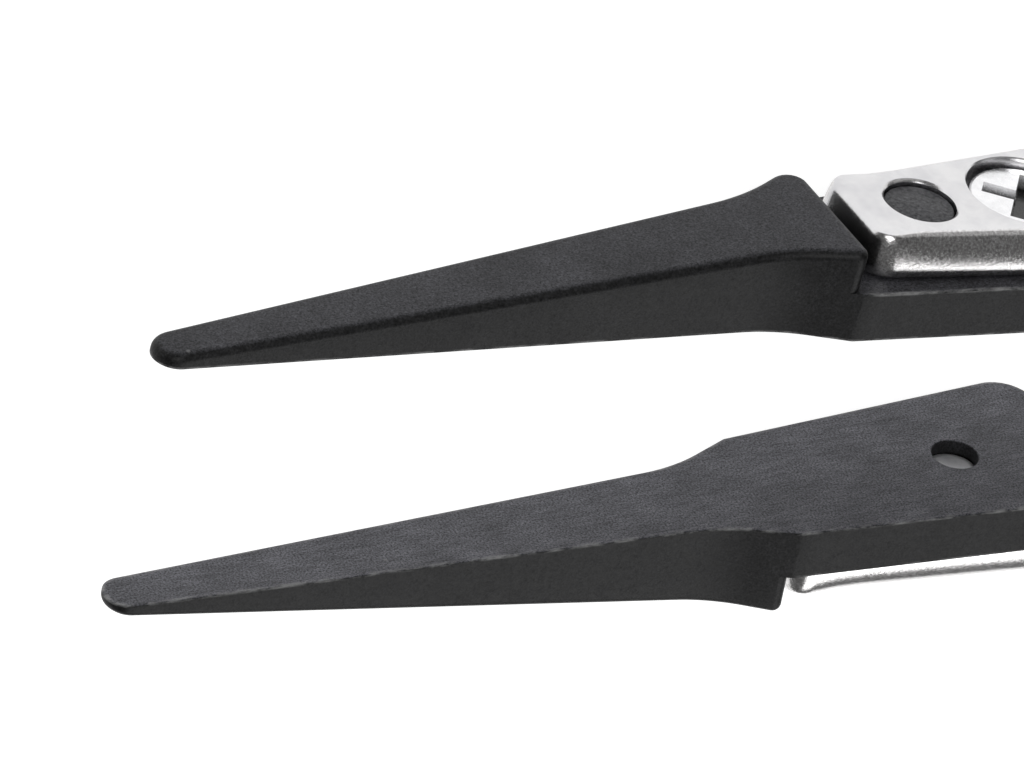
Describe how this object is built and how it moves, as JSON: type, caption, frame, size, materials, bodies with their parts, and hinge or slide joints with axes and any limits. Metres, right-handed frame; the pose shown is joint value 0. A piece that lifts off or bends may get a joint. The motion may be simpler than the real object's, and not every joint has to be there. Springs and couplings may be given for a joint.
{
  "type": "precision tweezers",
  "caption": "Straight precision tweezers: two sprung satin steel arms joined at the heel, each carrying an exchangeable flat black tip held by a peg and a screw.",
  "frame": {"origin": "under the middle of the bounding box, on the surface that the tweezers lie on", "axes": "+X along the length towards the heel, tips at -X; +Y towards the left arm, the way the arms open; +Z across the arms' width, up from the surface"},
  "size_m": [0.1308, 0.0182, 0.01],
  "materials": {
    "arm_steel": "satin, bead blasted stainless steel",
    "tip_plastic": "matt moulded plastic filled with carbon fibre",
    "screw_steel": "bright turned steel",
    "weld_steel": "fused steel"
  },
  "bodies": {
    "heel": {"left_arm_heel": "arm_steel", "right_arm_heel": "arm_steel", "spot_welds": "weld_steel"},
    "left_arm": {"left_arm_blade": "arm_steel", "left_tip": "tip_plastic", "left_tip_screw": "screw_steel"},
    "right_arm": {"right_arm_blade": "arm_steel", "right_tip": "tip_plastic", "right_tip_screw": "screw_steel"}
  },
  "joints": [
    {"name": "left_arm_flex", "type": "hinge", "parent": "heel", "child": "left_arm", "pos_m": [0.04395, 0.00127, 0.005], "axis": [0, 0, 1], "range_deg": [0, 3.01], "stiffness_Nm_per_rad": 1.6},
    {"name": "right_arm_flex", "type": "hinge", "parent": "heel", "child": "right_arm", "pos_m": [0.04395, -0.00127, 0.005], "axis": [0, 0, -1], "range_deg": [0, 3.01], "stiffness_Nm_per_rad": 1.6}
  ]
}
